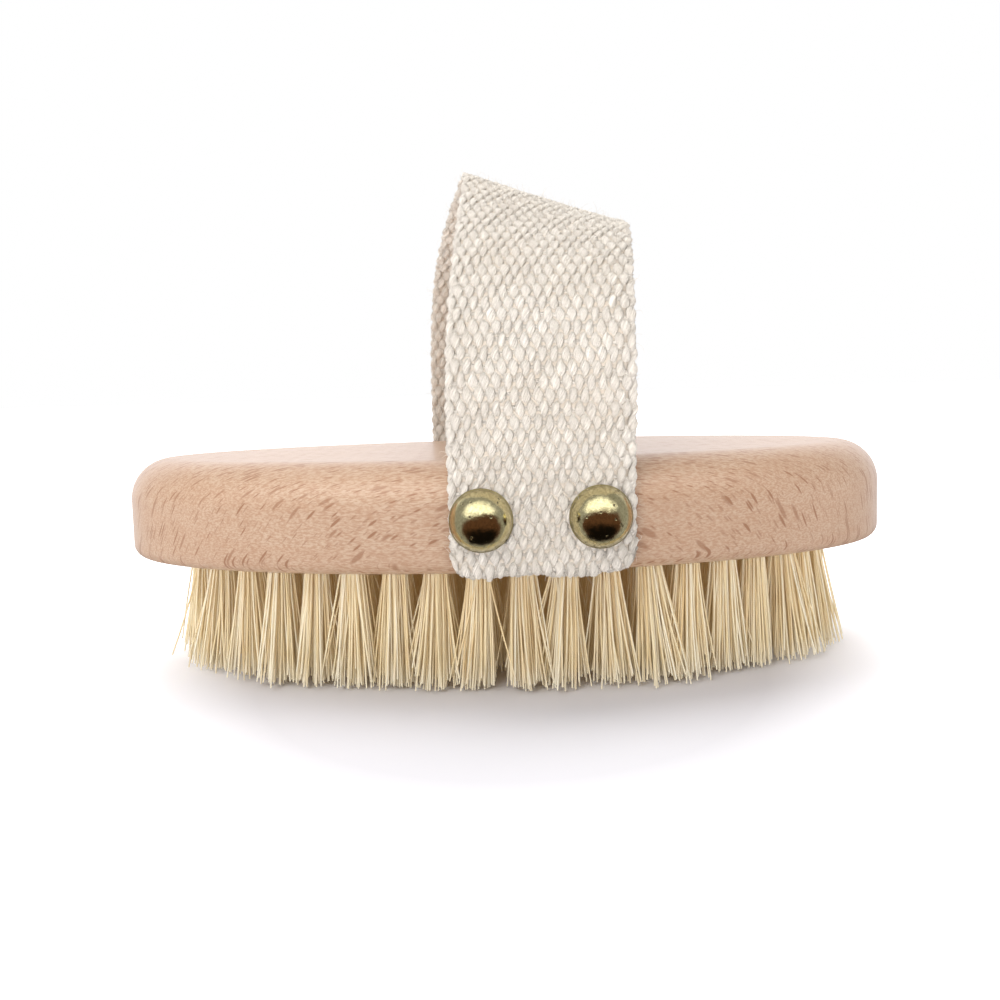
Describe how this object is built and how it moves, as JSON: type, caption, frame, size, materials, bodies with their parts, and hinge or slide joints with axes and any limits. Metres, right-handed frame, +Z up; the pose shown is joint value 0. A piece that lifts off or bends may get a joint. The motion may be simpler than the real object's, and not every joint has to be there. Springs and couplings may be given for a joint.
{
  "type": "body dry brush",
  "caption": "Oval wooden palm brush with natural bristle tufts on its underside and a nailed cotton webbing hand strap.",
  "frame": {"origin": "middle of the brush's bounding box, on the plane of the bristle tips it stands on", "axes": "+Z up, away from the bristle tips; +X along the oval block's long axis; -Y towards the side whose strap end sits right of the middle"},
  "size_m": [0.14, 0.0882, 0.089],
  "materials": {
    "beech": "satin",
    "bristle": "matt",
    "anchor_wire": "satin",
    "webbing": "matt",
    "dome_brass": "polished, antique",
    "nail_steel": "satin"
  },
  "bodies": {
    "brush": {"handle_block": "beech", "tufts_outer": "bristle", "tufts_second": "bristle", "tufts_third": "bristle", "tufts_fourth": "bristle", "tufts_centre": "bristle", "anchors_outer": "anchor_wire", "anchors_second": "anchor_wire", "anchors_third": "anchor_wire", "anchors_fourth": "anchor_wire", "anchors_centre": "anchor_wire", "strap_front_end": "webbing", "strap_back_end": "webbing", "nail_front_left_cap": "dome_brass", "nail_front_left_shank": "nail_steel", "nail_front_right_cap": "dome_brass", "nail_front_right_shank": "nail_steel", "nail_back_left_cap": "dome_brass", "nail_back_left_shank": "nail_steel", "nail_back_right_cap": "dome_brass", "nail_back_right_shank": "nail_steel"},
    "strap": {"strap_loop": "webbing"}
  },
  "joints": [
    {"name": "strap_lean", "type": "hinge", "parent": "brush", "child": "strap", "pos_m": [0.00245, 0, 0.033], "axis": [-0.0852, 0.9964, 0], "range_deg": [-30, 30], "stiffness_Nm_per_rad": 0.02}
  ]
}
